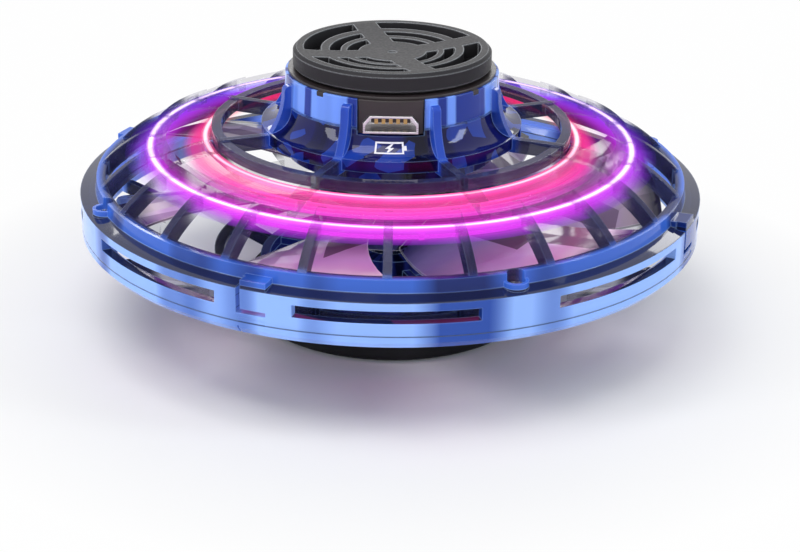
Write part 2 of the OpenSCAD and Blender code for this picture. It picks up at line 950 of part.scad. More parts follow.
// Flat rechargeable cell with rounded edges
module battery() {
  half_l = battery_l / 2 - battery_corner;
  half_w = battery_w / 2 - battery_corner;
  color([0.72, 0.74, 0.78])
    translate([0, battery_y, core_inside_z])
      linear_extrude(battery_t) {
        square([battery_w, 2 * half_l], center = true);
        square([2 * half_w, battery_l], center = true);
        for (sx = [-1, 1], sy = [-1, 1])
          translate([sx * half_w, sy * half_l])
            circle(battery_corner);
      }
}

// Two leads from the cell's end up to the board
module battery_leads() {
  start_y = battery_y + battery_l / 2;
  lead_z = core_inside_z + battery_t / 2;
  color([0.7, 0.1, 0.1])
    for (side = [-1, 1])
      translate([side * battery_lead_x, start_y, lead_z]) {
        rotate([-quarter, 0, 0])
          cylinder(r = battery_lead_r, h = battery_lead_out);
        translate([0, battery_lead_out, 0]) {
          sphere(battery_lead_r);
          cylinder(r = battery_lead_r, h = board_z - lead_z);
        }
      }
}

// Steel shell of the charging socket
module usb_socket() {
  color([0.75, 0.75, 0.77])
    difference() {
      usb_extrude(0, usb_depth)
        usb_outline();
      usb_extrude(-overcut, usb_depth + overcut - usb_back)
        usb_outline(-usb_wall);
    }
}

// Plastic tongue inside the socket
module usb_tongue() {
  length = usb_depth - usb_back - tongue_set_back;
  color([0.12, 0.1, 0.1])
    translate([-tongue_w / 2, usb_mouth_y + tongue_set_back, tongue_z])
      cube([tongue_w, length, tongue_t]);
}

// Gold contact strips under the tongue, turned up over its front edge
module usb_contacts() {
  first_x = -contact_pitch * (contact_count - 1) / 2;
  color([0.85, 0.65, 0.25])
    for (k = [0 : contact_count - 1])
      translate([first_x + k * contact_pitch - contact_w / 2,
        usb_mouth_y + tongue_set_back - contact_t, tongue_z - contact_t]) {
        cube([contact_w, contact_l, contact_t]);
        cube([contact_w, contact_t, tongue_t]);
      }
}

// Push switch on the board, facing the button
module tact_switch() {
  color([0.2, 0.2, 0.22]) {
    translate([-switch_w / 2, switch_y, board_top_z])
      cube([switch_w, switch_d, switch_h]);
    translate([0, switch_y + switch_d - eps, plunger_z])
      rotate([-quarter, 0, 0])
        cylinder(r = plunger_r, h = plunger_y - switch_y - switch_d + eps);
  }
}

// Power button in the rear of the hub
module power_button() {
  color([0.13, 0.13, 0.14])
    translate([0, 0, button_z])
      rotate([-quarter, 0, 0])
        difference() {
          union() {
            translate([0, 0, button_back_y])
              cylinder(r = button_r, h = button_face_y - button_back_y);
            translate([0, 0, button_flange_y - button_flange_t])
              cylinder(r = button_flange_r, h = button_flange_t);
          }
          translate([0, 0, button_face_y + button_crown_r - button_dish])
            sphere(button_crown_r);
        }
}

// Motor base with the tube that carries the bush and stator
module motor_mount() {
  color([0.6, 0.62, 0.66])
    difference() {
      union() {
        tube(mount_base_r, 0, mount_base_z, core_floor_z);
        tube(mount_tube_r, 0, mount_tube_z, mount_base_z + eps);
      }
      cylinder(r = bush_r, h = cap_top_z);
      around(motor_screw_count, motor_screw_angle)
        translate([motor_screw_at_r, 0, 0])
          cylinder(r = motor_screw_r, h = cap_top_z);
      for (a = lead_coils)
        rotate(a)
          translate([lead_at_r, 0, 0])
            cylinder(r = lead_hole_r, h = cap_top_z);
    }
}

// Plain bearing bush of the motor
module motor_bush() {
  color([0.75, 0.55, 0.3])
    tube(bush_r, shaft_r + shaft_fit, mount_tube_z, core_floor_z);
}

// Laminated stator with one T-shaped tooth to each coil
module motor_stator() {
  tip_arc = 360 / stator_teeth - tooth_tip_gap_arc;
  color([0.45, 0.45, 0.48])
    difference() {
      union() {
        tube(stator_core_r, mount_tube_r, stator_z, stator_z + stator_h);
        around(stator_teeth, coil_first_angle) {
          translate([neck_in_r, -tooth_neck / 2, stator_z])
            cube([neck_out_r - neck_in_r, tooth_neck, stator_h]);
          sector(stator_r - tooth_tip_t, stator_r, stator_z, stator_z + stator_h, tip_arc);
        }
      }
      cylinder(r = mount_tube_r, h = cap_top_z);
    }
}

// Copper coil round each stator tooth
module motor_windings() {
  color([0.72, 0.4, 0.2])
    around(stator_teeth, coil_first_angle)
      difference() {
        translate([coil_in_r, -tooth_neck / 2 - coil_t, stator_z - coil_t])
          cube([coil_out_r - coil_in_r, tooth_neck + 2 * coil_t, stator_h + 2 * coil_t]);
        translate([0, -tooth_neck / 2, stator_z])
          cube([stator_r, tooth_neck, stator_h]);
      }
}

// Three leads from the coils up to the board
module motor_leads() {
  start_z = stator_z + stator_h + coil_t;
  color([0.1, 0.1, 0.5])
    for (a = lead_coils)
      rotate(a)
        translate([lead_at_r, 0, start_z])
          cylinder(r = lead_r, h = board_z - start_z);
}

// Screws that hang the motor from the core's floor
module motor_screws() {
  head_z = core_inside_z - motor_recess;
  color("silver")
    around(motor_screw_count, motor_screw_angle)
      translate([motor_screw_at_r, 0, head_z])
        pan_screw(motor_head_r, motor_head_h, motor_screw_r, head_z - mount_base_z);
}

// Turning bell of the motor, open upwards
module motor_bell() {
  color([0.35, 0.36, 0.4])
    difference() {
      tube(bell_r, 0, bell_z, bell_top_z);
      translate([0, 0, bell_z + bell_plate_t])
        cylinder(r = bell_inner_r, h = bell_top_z);
      cylinder(r = shaft_r, h = cap_top_z);
      around(bell_vents, bell_vent_angle)
        translate([bell_vent_at_r, 0, 0])
          cylinder(r = bell_vent_r, h = cap_top_z);
      around(prop_screw_count)
        translate([prop_screw_at_r, 0, 0])
          cylinder(r = prop_screw_r, h = cap_top_z);
    }
}

// Curved magnets on the bell's inner wall
module motor_magnets() {
  arc = 360 / magnet_count - magnet_gap_arc;
  color([0.3, 0.3, 0.32])
    around(magnet_count)
      sector(bell_inner_r - magnet_t, bell_inner_r, magnet_z, magnet_z + magnet_h, arc);
}

// Shaft of the motor and propeller
module motor_shaft() {
  color([0.8, 0.8, 0.82])
    translate([0, 0, shaft_bottom_z])
      cylinder(r = shaft_r, h = shaft_top_z - shaft_bottom_z);
}

// Blend from a to b at t, which runs from 0 to 1
function mix(a, b, t) = a + (b - a) * t;

// Half thickness of a blade at u across its width
function half_t(u) = blade_t / 2 * (edge_thickness + (1 - edge_thickness) * 4 * u * (1 - u));

// Point of a blade: t along its length, u across its width, side +1 above or -1 below
function blade_point(t, u, side) =
  let (r = mix(blade_root_r, propeller_r, t))
  let (arc = mix(root_arc, tip_arc, t))
  let (a = blade_sweep * t * t + arc * (u - 0.5))
  let (rise = blade_lead * arc / 360 * (u - 0.5))
  let (z = mix(root_mid_z, tip_mid_z, t) + rise + blade_camber * 4 * u * (1 - u))
  [r * cos(a), r * sin(a), z + side * half_t(u)];

// Points of one station, over the upper face and back under the lower
function blade_ring(t) = concat(
  [for (k = [0 : blade_steps]) blade_point(t, k / blade_steps, 1)],
  [for (k = [blade_steps : -1 : 0]) blade_point(t, k / blade_steps, -1)]);

// One twisted and cambered blade, lofted from its root to its tip
module blade() {
  ring_n = 2 * (blade_steps + 1);
  points = [for (i = [0 : blade_stations]) each blade_ring(i / blade_stations)];
  last = blade_stations * ring_n;
  sides = [for (i = [0 : blade_stations - 1], k = [0 : ring_n - 1])
    let (a = i * ring_n + k, b = i * ring_n + (k + 1) % ring_n)
    each [[a, b, b + ring_n], [a, b + ring_n, a + ring_n]]];
  root_end = [for (k = [0 : blade_steps - 1])
    let (a = k, b = k + 1, c = ring_n - 2 - k, d = ring_n - 1 - k)
    each [[a, c, b], [a, d, c]]];
  tip_end = [for (f = root_end) [f[2] + last, f[1] + last, f[0] + last]];
  polyhedron(points, concat(sides, root_end, tip_end));
}

// Propeller: cup-shaped hub that hangs from the bell, and its blades
module propeller() {
  web_z = bell_z - prop_web_t;
  color([0.7, 0.75, 0.95, 0.8])
    difference() {
      union() {
        tube(prop_hub_r, prop_hub_r - prop_hub_wall, prop_hub_z, bell_z);
        tube(prop_hub_r - eps, 0, web_z, bell_z);
        tube(prop_boss_r, 0, shaft_bottom_z, web_z + eps);
        difference() {
          around(blade_count)
            blade();
          cylinder(r = prop_hub_r - prop_hub_wall + eps, h = cap_top_z);
        }
      }
      cylinder(r = shaft_r, h = cap_top_z);
      around(prop_screw_count)
        translate([prop_screw_at_r, 0, 0])
          cylinder(r = prop_screw_r, h = cap_top_z);
    }
}

// Screws that hold the propeller to the bell
module propeller_screws() {
  head_z = bell_z - prop_web_t;
  color("silver")
    around(prop_screw_count)
      translate([prop_screw_at_r, 0, head_z])
        mirror([0, 0, 1])
          pan_screw(prop_head_r, prop_head_h, prop_screw_r, prop_web_t + bell_plate_t);
}

// Upper finger cap: dished grille with four spokes, on a skirt
module top_cap() {
  plate_z = cap_top_z - cap_dish - cap_plate_t;
  color([0.24, 0.24, 0.26])
    difference() {
      union() {
        rotate_extrude()
          difference() {
            polygon([
              [0, cap_bottom_z],
              [cap_r - cap_edge / 2, cap_bottom_z],
              [cap_r, cap_bottom_z + cap_edge / 2],
              [cap_r, cap_top_z - cap_edge],
              [cap_r - cap_edge, cap_top_z],
              [0, cap_top_z]
            ]);
            square([cap_r - cap_wall, plate_z]);
          }
        translate([0, 0, top_bearing_z + bearing_w])
          cylinder(r = axle_head_r, h = plate_z + eps - top_bearing_z - bearing_w);
      }
      translate([0, 0, cap_top_z - cap_dish + cap_dish_r])
        sphere(cap_dish_r);
      translate([0, 0, plate_z - overcut])
        linear_extrude(cap_plate_t + cap_dish + 2 * overcut)
          difference() {
            for (band = slot_bands)
              difference() {
                circle(band[1] * cap_r);
                circle(band[0] * cap_r);
              }
            for (turn = [0, quarter])
              rotate(spoke_angle + turn)
                square([cap_d, spoke_w], center = true);
          }
      translate([0, 0, cap_top_z - cap_dish - cap_dimple_r / 2])
        cylinder(r = cap_dimple_r, h = cap_plate_t);
      translate([0, 0, top_bearing_z])
        cylinder(r = bearing_bore_r, h = plate_z + axle_grip - top_bearing_z);
    }
}

// Axle of the upper cap, with the head that holds the bearing's inner ring
module top_axle() {
  top_z = cap_top_z - cap_dish - cap_plate_t + axle_grip;
  color([0.8, 0.8, 0.82]) {
    translate([0, 0, top_bearing_z - eps])
      cylinder(r = bearing_bore_r, h = top_z - top_bearing_z + eps);
    translate([0, 0, top_bearing_z - axle_head_h])
      cylinder(r = axle_head_r, h = axle_head_h);
  }
}

// Section of both races: the track that the balls run in
module ball_track() {
  translate([bearing_pitch_r, bearing_w / 2])
    circle(ball_r + ball_race_gap);
}

// Outer ring of a bearing that stands at height z
module bearing_outer(z) {
  color([0.78, 0.78, 0.8])
    translate([0, 0, z])
      rotate_extrude()
        difference() {
          translate([bearing_outer_land_r, 0])
            square([bearing_outer_r - bearing_outer_land_r, bearing_w]);
          ball_track();
        }
}

// Balls of a bearing, resting against the outer track
module bearing_balls(z) {
  color([0.85, 0.85, 0.87])
    around(ball_count)
      translate([bearing_pitch_r + ball_race_gap, 0, z + bearing_w / 2])
        sphere(ball_r);
}

// Inner ring of a bearing
module bearing_inner(z) {
  color([0.74, 0.74, 0.76])
    translate([0, 0, z])
      rotate_extrude()
        difference() {
          translate([bearing_bore_r, 0])
            square([bearing_inner_land_r - bearing_bore_r, bearing_w]);
          ball_track();
        }
}

// Bearing of the upper cap
module top_bearing_outer() {
  bearing_outer(top_bearing_z);
}

module top_bearing_balls() {
  bearing_balls(top_bearing_z);
}

module top_bearing_inner() {
  bearing_inner(top_bearing_z);
}

// Lower finger cap, which is also the foot
module bottom_cap() {
  color([0.1, 0.09, 0.09])
    difference() {
      union() {
        rotate_extrude() {
          translate([0, foot_round])
            square([foot_r, foot_top_z - foot_round]);
          square([foot_r - foot_round, foot_top_z]);
          translate([foot_r - foot_round, foot_round])
            intersection() {
              circle(foot_round);
              translate([0, -foot_round])
                square(foot_round);
            }
        }
      }
      difference() {
        translate([0, 0, foot_plate_t])
          cylinder(r = foot_r - foot_wall, h = foot_top_z);
        cylinder(r = axle_head_r, h = bottom_bearing_z);
      }
      translate([0, 0, foot_dish_depth - foot_dish_r])
        sphere(foot_dish_r);
      translate([0, 0, foot_plate_t])
        cylinder(r = bearing_bore_r, h = foot_top_z);
    }
}

// Axle of the lower cap, headed above the bearing
module bottom_axle() {
  head_z = bottom_bearing_z + bearing_w;
  color([0.8, 0.8, 0.82]) {
    translate([0, 0, foot_plate_t])
      cylinder(r = bearing_bore_r, h = head_z - foot_plate_t + eps);
    translate([0, 0, head_z])
      cylinder(r = axle_head_r, h = axle_head_h);
  }
}

// Bearing of the lower cap
module bottom_bearing_outer() {
  bearing_outer(bottom_bearing_z);
}

module bottom_bearing_balls() {
  bearing_balls(bottom_bearing_z);
}

module bottom_bearing_inner() {
  bearing_inner(bottom_bearing_z);
}

upper_cage();
lower_cage();
rim_screws();
inner_light_ring();
outer_light_ring();
core_housing();
top_collar();
collar_screws();
circuit_board();
board_chips();
leds();
battery();
battery_leads();
usb_socket();
usb_tongue();
usb_contacts();
tact_switch();
power_button();
motor_mount();
motor_bush();
motor_stator();
motor_windings();
motor_leads();
motor_screws();
motor_bell();
motor_magnets();
motor_shaft();
propeller();
propeller_screws();
top_cap();
top_axle();
top_bearing_outer();
top_bearing_balls();
top_bearing_inner();
bottom_cap();
bottom_axle();
bottom_bearing_outer();
bottom_bearing_balls();
bottom_bearing_inner();
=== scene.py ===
"""Looks of the flying spinner: materials, light rings, printed mark, stage, lights and camera."""

import json
import math

import bpy
from mathutils import Matrix, Vector


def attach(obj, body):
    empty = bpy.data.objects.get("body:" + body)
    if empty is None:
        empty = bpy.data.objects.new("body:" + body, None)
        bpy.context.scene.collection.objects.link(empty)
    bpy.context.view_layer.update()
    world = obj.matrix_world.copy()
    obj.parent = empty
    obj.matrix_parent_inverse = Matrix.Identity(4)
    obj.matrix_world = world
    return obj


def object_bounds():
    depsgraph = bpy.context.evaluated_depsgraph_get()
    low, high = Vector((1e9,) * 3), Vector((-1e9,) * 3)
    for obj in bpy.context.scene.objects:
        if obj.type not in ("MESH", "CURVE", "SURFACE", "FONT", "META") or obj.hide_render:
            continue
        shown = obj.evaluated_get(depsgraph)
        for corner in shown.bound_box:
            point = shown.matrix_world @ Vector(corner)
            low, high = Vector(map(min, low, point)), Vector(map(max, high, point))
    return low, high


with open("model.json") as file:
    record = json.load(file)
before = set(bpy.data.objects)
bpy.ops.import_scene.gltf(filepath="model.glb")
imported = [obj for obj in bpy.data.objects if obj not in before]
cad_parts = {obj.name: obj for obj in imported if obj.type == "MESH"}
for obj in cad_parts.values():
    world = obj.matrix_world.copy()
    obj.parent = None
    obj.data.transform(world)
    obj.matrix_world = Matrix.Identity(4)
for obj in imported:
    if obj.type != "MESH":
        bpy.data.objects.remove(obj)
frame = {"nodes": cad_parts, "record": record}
cad_low, cad_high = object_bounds()
nodes = frame["nodes"]

MM = 0.001
MM_PER_METRE = 1000
CAGE_RADIUS = 45

# Radius and height of each light ring's middle, in millimetres
INNER_LIGHT = (26.9, 26.3)
OUTER_LIGHT = (34.8, 25.2)

# Edges of zones in millimetres: a zone is empty at the first value and full at the second
RIM_RADIUS = (41.5, 42.3)
LEDGE_FLOOR, LEDGE_TOP = (19.63, 19.69), (20.2, 20.12)
SLOPE_FOOT = (20.15, 20.25)
SLOT_DEPTH = (44.97, 44.9)
HUB_RADIUS = (20.2, 18.9)
HUB_BAND_FOOT = (32.3, 32.7)
FIN_FOOT = (15.45, 15.6)
LIT_INSIDE, LIT_OUTSIDE = (25.7, 26.6), (38.5, 36.5)
STRANDS_INSIDE, STRANDS_OUTSIDE = (27.8, 28.0), (33.4, 33.2)

# Heights of the slots' floor and roof and of the seam between the cage halves, in millimetres
SLOT_FACES = (16.9, 18.6)
SEAM_HEIGHT = 15.1
FIN_COUNT = 8

# Part of a noise's range that holds most of its values, and where the front's look is full
NOISE_RANGE = (0.3, 0.7)
FRONT_FULL = 0.95

CLEAR_IOR = 1.49
BLACK, WHITE = (0, 0, 0), (1, 1, 1)

# Sockets of a Mix node that mixes colours
MIX_FACTOR, MIX_FIRST, MIX_SECOND, MIX_RESULT = 0, 6, 7, 2


# Node helpers

def feed(tree, node, socket, value):
    """Links a socket to a node input, or sets the input's own value."""
    target = node.inputs[socket]
    if isinstance(value, bpy.types.NodeSocket):
        tree.links.new(value, target)
    else:
        target.default_value = value


def feed_all(tree, node, values):
    """Feeds several inputs of a node."""
    for socket, value in values.items():
        feed(tree, node, socket, value)


def add(tree, kind, values=None, **settings):
    """Adds a node with its settings and inputs."""
    node = tree.nodes.new(kind)
    for key, value in settings.items():
        setattr(node, key, value)
    feed_all(tree, node, values or {})
    return node


def calc(tree, operation, *values, clamp=False):
    """Output of a Math node."""
    node = add(tree, "ShaderNodeMath", dict(enumerate(values)), operation=operation,
               use_clamp=clamp)
    return node.outputs[0]


def product(tree, first, second):
    """First times second."""
    return calc(tree, "MULTIPLY", first, second)


def larger(tree, first, second):
    """The larger of two values."""
    return calc(tree, "MAXIMUM", first, second)


def vector_calc(tree, operation, result, *vectors):
    """Named output of a Vector Math node."""
    node = add(tree, "ShaderNodeVectorMath", dict(enumerate(vectors)), operation=operation)
    return node.outputs[result]


def blend(tree, factor, first, second):
    """Colour mixed from first to second, each a socket or red, green and blue."""
    node = add(tree, "ShaderNodeMix", {MIX_FACTOR: factor}, data_type="RGBA")
    for index, colour in ((MIX_FIRST, first), (MIX_SECOND, second)):
        feed(tree, node, index, (*colour, 1) if isinstance(colour, tuple) else colour)
    return node.outputs[MIX_RESULT]


def ramp(tree, factor, stops):
    """Colour ramp through (position, colour) stops."""
    node = add(tree, "ShaderNodeValToRGB", {0: factor})
    elements = node.color_ramp.elements
    while len(elements) < len(stops):
        elements.new(0.5)
    for element, (position, colour) in zip(elements, stops):
        element.position = position
        element.color = (*colour, 1)
    return node.outputs[0]


def span(tree, value, low, high, to_low=0.0, to_high=1.0):
    """Value mapped from one range to another, clamped."""
    node = add(tree, "ShaderNodeMapRange", {0: value, 1: low, 2: high, 3: to_low, 4: to_high})
    return node.outputs[0]


def noise(tree, values, **settings):
    """Value of a Noise texture."""
    return add(tree, "ShaderNodeTexNoise", values, **settings).outputs[0]


def object_place(tree):
    """Object coordinates, in metres."""
    return add(tree, "ShaderNodeTexCoord").outputs["Object"]


def new_group(name, inputs, outputs):
    """Shader node group with named inputs (name, default) and outputs (name, socket type)."""
    tree = bpy.data.node_groups.new(name, "ShaderNodeTree")
    for label, value in inputs:
        socket = tree.interface.new_socket(name=label, in_out="INPUT",
                                           socket_type="NodeSocketFloat")
        socket.default_value = value
    for label, kind in outputs:
        tree.interface.new_socket(name=label, in_out="OUTPUT", socket_type=kind)
    return tree, tree.nodes.new("NodeGroupInput").outputs, tree.nodes.new("NodeGroupOutput")


def use(tree, group, **values):
    """Adds a node group and returns its outputs."""
    node = add(tree, "ShaderNodeGroup", node_tree=group)
    for key, value in values.items():
        feed(tree, node, key.replace("_", " "), value)
    return node.outputs


# Node groups shared by the materials

def make_polar_place():
    """Place on the spinner: radius and height in mm, heading and turn, and how far to the front."""
    tree, _, leave = new_group("polar_place", [], [
        ("Radius", "NodeSocketFloat"), ("Height", "NodeSocketFloat"),
        ("Heading", "NodeSocketVector"), ("Turn", "NodeSocketFloat"),
        ("Front", "NodeSocketFloat")])
    x, y, z = add(tree, "ShaderNodeSeparateXYZ", {0: object_place(tree)}).outputs
    flat = add(tree, "ShaderNodeCombineXYZ", {0: x, 1: y}).outputs[0]
    radius = vector_calc(tree, "LENGTH", "Value", flat)
    forward = calc(tree, "DIVIDE", product(tree, y, -1), larger(tree, radius, 1e-6))
    feed_all(tree, leave, {
        "Radius": product(tree, radius, MM_PER_METRE),
        "Height": product(tree, z, MM_PER_METRE),
        "Heading": vector_calc(tree, "NORMALIZE", "Vector", flat),
        "Turn": calc(tree, "ARCTAN2", y, x),
        "Front": span(tree, forward, -0.6, 1)})
    return tree


def make_soft_band():
    """Bell-shaped mask round a centre."""
    tree, enter, leave = new_group("soft_band", [("Value", 0), ("Centre", 0), ("Width", 1)],
                                   [("Mask", "NodeSocketFloat")])
    offset = calc(tree, "SUBTRACT", enter["Value"], enter["Centre"])
    away = calc(tree, "DIVIDE", offset, enter["Width"])
    fall = calc(tree, "EXPONENT", product(tree, product(tree, away, away), -1))
    feed(tree, leave, "Mask", fall)
    return tree


def make_moulded_surface():
    """Surface of a moulding: slow and fine variation, edges, and a normal with grain."""
    tree, enter, leave = new_group(
        "moulded_surface",
        [("Grain Scale", 1500), ("Grain Depth", 0.3), ("Edge Radius", 0.0002)],
        [("Cloud", "NodeSocketFloat"), ("Grain", "NodeSocketFloat"),
         ("Edge", "NodeSocketFloat"), ("Normal", "NodeSocketVector")])
    place = object_place(tree)
    grain = noise(tree, {"Vector": place, "Scale": enter["Grain Scale"], "Detail": 4})
    rounded = add(tree, "ShaderNodeBevel", {"Radius": enter["Edge Radius"]}, samples=6).outputs[0]
    flat = add(tree, "ShaderNodeNewGeometry").outputs["Normal"]
    level = calc(tree, "ABSOLUTE", vector_calc(tree, "DOT_PRODUCT", "Value", rounded, flat))
    bumped = add(tree, "ShaderNodeBump", {
        "Strength": enter["Grain Depth"], "Distance": 0.00003, "Height": grain, "Normal": rounded})
    feed_all(tree, leave, {
        "Cloud": noise(tree, {"Vector": place, "Scale": 90, "Detail": 3}),
        "Grain": grain,
        "Edge": span(tree, level, 0.985, 0.8),
        "Normal": bumped.outputs[0]})
    return tree


def make_painted_facets():
    """Patches with straight edges, as clear plastic shows its far walls: painted glints and shade.
    """
    tree, enter, leave = new_group("painted_facets", [("Scale", 160)], [("Shade", "NodeSocketFloat")])
    cells = add(tree, "ShaderNodeTexVoronoi", {
        "Vector": object_place(tree), "Scale": enter["Scale"]}).outputs["Color"]
    feed(tree, leave, "Shade", add(tree, "ShaderNodeSeparateColor", {0: cells}).outputs[0])
    return tree


def make_cage_zones():
    """Zones of the cage: the parts of its rim and hub, the seam, the lit zone, and painted
    reflection stripes of light and shade, lighter towards -x.
    """
    tree, _, leave = new_group("cage_zones", [], [(label, "NodeSocketFloat") for label in (
        "Rim", "Ledge", "Slope", "Slot", "Hub", "Upper Band", "Fin", "Seam", "Lit", "Painted Bands",
        "Panels")])
    place = use(tree, polar_place)
    radius, height, heading = place["Radius"], place["Height"], place["Heading"]
    # Painted reflection: upright stripes of light and shade round the cage, lighter towards -x
    waves = noise(tree, {"Vector": heading, "Scale": 3.4, "Detail": 1})
    panels = noise(tree, {"Vector": heading, "Scale": 6, "Detail": 0})
    east = add(tree, "ShaderNodeSeparateXYZ", {0: heading}).outputs[0]
    painted_bands = calc(tree, "ADD", waves, span(tree, east, -0.45, -0.95, 0, 0.12))
    turns = product(tree, place["Turn"], FIN_COUNT)
    comb = calc(tree, "COSINE", calc(tree, "SUBTRACT", turns, math.pi))
    slot_faces = [use(tree, soft_band, Value=height, Centre=face, Width=0.04)["Mask"]
                  for face in SLOT_FACES]
    feed_all(tree, leave, {
        "Rim": span(tree, radius, *RIM_RADIUS),
        "Ledge": product(tree, span(tree, height, *LEDGE_FLOOR), span(tree, height, *LEDGE_TOP)),
        "Slope": span(tree, height, *SLOPE_FOOT),
        "Slot": product(tree, calc(tree, "ADD", *slot_faces, clamp=True),
                        span(tree, radius, *SLOT_DEPTH)),
        "Hub": span(tree, radius, *HUB_RADIUS),
        "Upper Band": span(tree, height, *HUB_BAND_FOOT),
        "Fin": product(tree, span(tree, comb, 0.94, 0.96), span(tree, radius, *FIN_FOOT)),
        "Seam": use(tree, soft_band, Value=height, Centre=SEAM_HEIGHT, Width=0.09)["Mask"],
        "Lit": product(tree, span(tree, radius, *LIT_OUTSIDE), span(tree, radius, *LIT_INSIDE)),
        "Painted Bands": span(tree, painted_bands, 0.42, 0.54),
        "Panels": span(tree, panels, 0.44, 0.52)})
    return tree


def make_light_hue():
    """Colour of the light by radius: crimson to violet at the sides, pink to magenta in front."""
    tree, _, leave = new_group("light_hue", [], [("Colour", "NodeSocketColor")])
    place = use(tree, polar_place)
    out = span(tree, place["Radius"], 24, 40)
    side = ramp(tree, out, [
        (0.10, (1, 0.02, 0.07)), (0.32, (0.80, 0.03, 0.20)), (0.50, (0.45, 0.03, 0.60)),
        (0.70, (0.24, 0.05, 0.95)), (0.88, (0.04, 0.03, 0.85))])
    front = ramp(tree, out, [
        (0.10, (1, 0.10, 0.40)), (0.32, (0.90, 0.06, 0.54)), (0.50, (0.80, 0.04, 0.68)),
        (0.70, (0.75, 0.05, 0.82)), (0.95, (0.28, 0.05, 0.85))])
    feed(tree, leave, "Colour", blend(tree, place["Front"], side, front))
    return tree


def make_ring_halo():
    """Light that the two light rings throw on what is near them, as a strength."""
    tree, enter, leave = new_group("ring_halo", [("Reach", 2)], [("Strength", "NodeSocketFloat")])
    place = use(tree, polar_place)
    masks = []
    for radius, height in (INNER_LIGHT, OUTER_LIGHT):
        across = calc(tree, "SUBTRACT", place["Radius"], radius)
        along = calc(tree, "SUBTRACT", place["Height"], height)
        away = calc(tree, "SQRT", calc(tree, "ADD", product(tree, across, across),
                                       product(tree, along, along)))
        masks.append(use(tree, soft_band, Value=away, Width=enter["Reach"])["Mask"])
    feed(tree, leave, "Strength", calc(tree, "ADD", *masks, clamp=True))
    return tree


polar_place = make_polar_place()
soft_band = make_soft_band()
moulded_surface = make_moulded_surface()
ring_halo = make_ring_halo()
painted_facets = make_painted_facets()
cage_zones = make_cage_zones()
light_hue = make_light_hue()


# Materials

def new_material(name):
    """Material with a Principled shader; returns the material, its tree and the shader."""
    material = bpy.data.materials.new(name)
    material.use_nodes = True
    tree = material.node_tree
    return material, tree, tree.nodes["Principled BSDF"]


def clear_cage(name, rim_tints, band_tints, hub_tints, fin_tint, rib_tints, rib_veil):
    """Clear plastic of a cage half: rim and hub in painted reflection stripes with painted glow and
    glints, painted shade on ledge and slots, see-through ribs and painted bright edges.
    """
    material, tree, shader = new_material(name)
    surface = use(tree, moulded_surface, Grain_Scale=500, Grain_Depth=0.08, Edge_Radius=0.00026)
    zones = use(tree, cage_zones)
    body = larger(tree, zones["Rim"], zones["Hub"])

    # Rim, slope and hub go from dark to light along the painted reflection stripes
    slope = blend(tree, zones["Painted Bands"], (0.006, 0.024, 0.18), (0.04, 0.13, 0.58))
    rim = blend(tree, zones["Slope"], blend(tree, zones["Painted Bands"], *rim_tints), slope)
    # Painted shade: the ledge and the slots' floor and roof darkened to near black
    rim = blend(tree, larger(tree, zones["Ledge"], zones["Slot"]), rim, (0.012, 0.016, 0.06))

    # Painted glints: lighter straight-edged spots on the hub
    painted_patches = span(tree, use(tree, painted_facets, Scale=420)["Shade"], 0.74, 0.8, 0, 0.6)
    hub = blend(tree, painted_patches, blend(tree, zones["Painted Bands"], *hub_tints), fin_tint)
    hub = blend(tree, zones["Upper Band"], hub, blend(tree, zones["Panels"], *band_tints))
    hub = blend(tree, zones["Fin"], hub, fin_tint)

    ribs = blend(tree, span(tree, surface["Cloud"], *NOISE_RANGE), *rib_tints)
    tint = blend(tree, zones["Rim"], blend(tree, zones["Hub"], ribs, hub), rim)
    tint = blend(tree, zones["Seam"], tint, (0.003, 0.005, 0.03))

    # Ribs are clearer where they face the eye, and clearest over the light
    slant = add(tree, "ShaderNodeLayerWeight", {"Blend": 0.4}).outputs["Facing"]
    veil = larger(tree, span(tree, slant, 0.1, 0.9, rib_veil, 0.95),
                  product(tree, surface["Edge"], 0.7))
    veil = product(tree, veil, span(tree, zones["Lit"], 0, 1, 1, 0.18))

    # Painted light: rim and hub glow in their own tint, more on the light stripes; edges glow pale
    # blue as a painted highlight; the rings' light is painted on the ribs near them
    painted_glow = product(tree, body, span(tree, zones["Painted Bands"], 0, 1, 0.03, 0.25))
    edge_glow = product(tree, surface["Edge"], span(tree, body, 0, 1, 0.08, 0.2))
    halo = product(tree, use(tree, ring_halo, Reach=2.2)["Strength"], zones["Lit"])
    shine = blend(tree, painted_glow, BLACK, tint)
    shine = blend(tree, edge_glow, shine, (0.3, 0.5, 1))
    shine = blend(tree, product(tree, halo, 0.2), shine, use(tree, light_hue)["Colour"])

    feed_all(tree, shader, {
        "Base Color": tint, "Alpha": larger(tree, body, veil), "IOR": CLEAR_IOR,
        "Transmission Weight": 0.15, "Normal": surface["Normal"], "Specular IOR Level": 0.08,
        "Roughness": span(tree, surface["Grain"], *NOISE_RANGE, 0.03, 0.08),
        "Coat Weight": product(tree, body, 0.3), "Coat Roughness": 0.02,
        "Emission Color": shine, "Emission Strength": 1.0})
    return material


